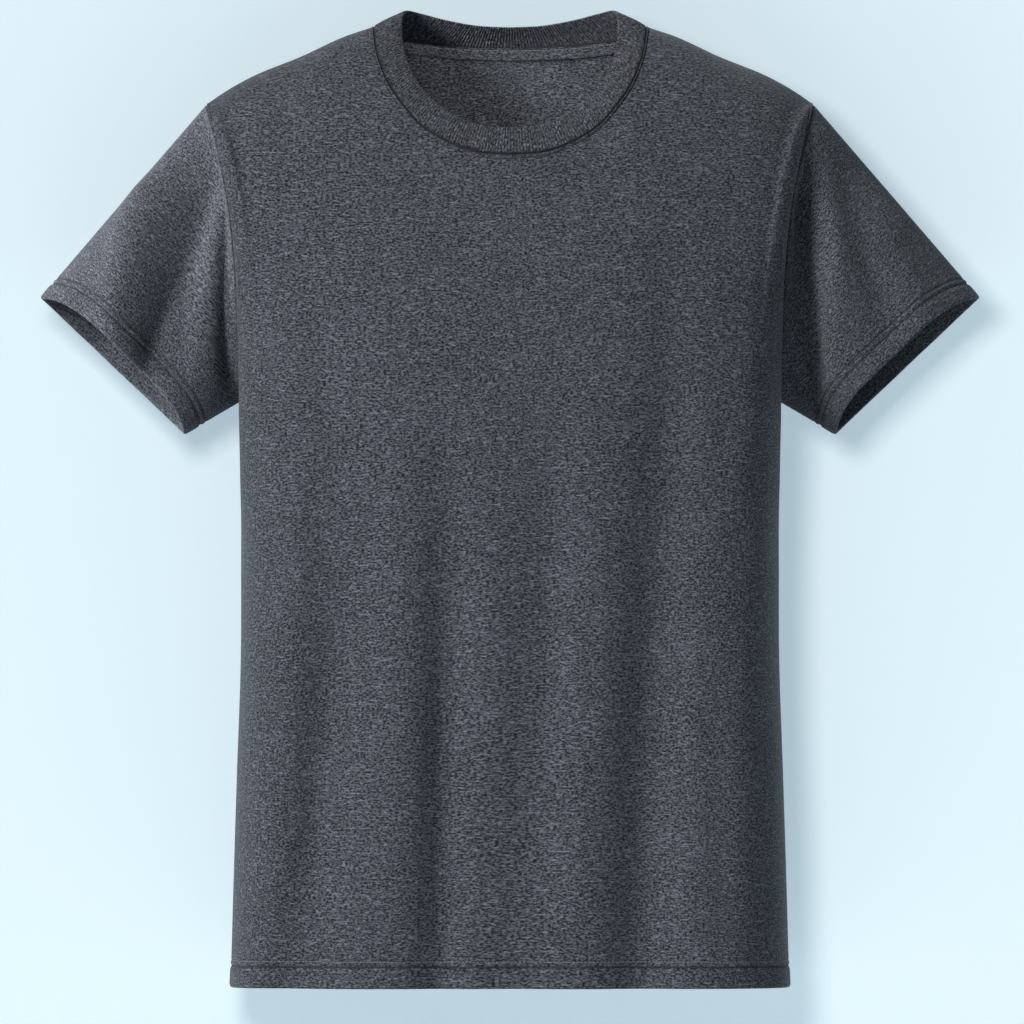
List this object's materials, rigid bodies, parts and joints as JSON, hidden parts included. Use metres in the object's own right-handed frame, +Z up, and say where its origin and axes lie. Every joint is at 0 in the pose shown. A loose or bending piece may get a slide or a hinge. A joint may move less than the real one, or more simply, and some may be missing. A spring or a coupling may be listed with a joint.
{
  "type": "crew neck t-shirt",
  "caption": "Short-sleeved crew neck T-shirt in heather jersey with a ribbed collar, filled out as worn and open at neck, hem and cuffs.",
  "frame": {"origin": "midway between the two points where the neck seam meets the shoulder seams, where the wearer's shoulders carry the shirt", "axes": "+Z up, -Y the way the chest faces, +X toward the wearer's left sleeve"},
  "size_m": [0.7, 0.2278, 0.7275],
  "materials": {
    "jersey": "matt charcoal heather cotton jersey",
    "rib": "matt charcoal heather one by one rib"
  },
  "bodies": {
    "root": {"front": "jersey", "back": "jersey", "sleeve_left": "jersey", "sleeve_right": "jersey", "collar": "rib", "neck_tape": "jersey"}
  },
  "joints": []
}
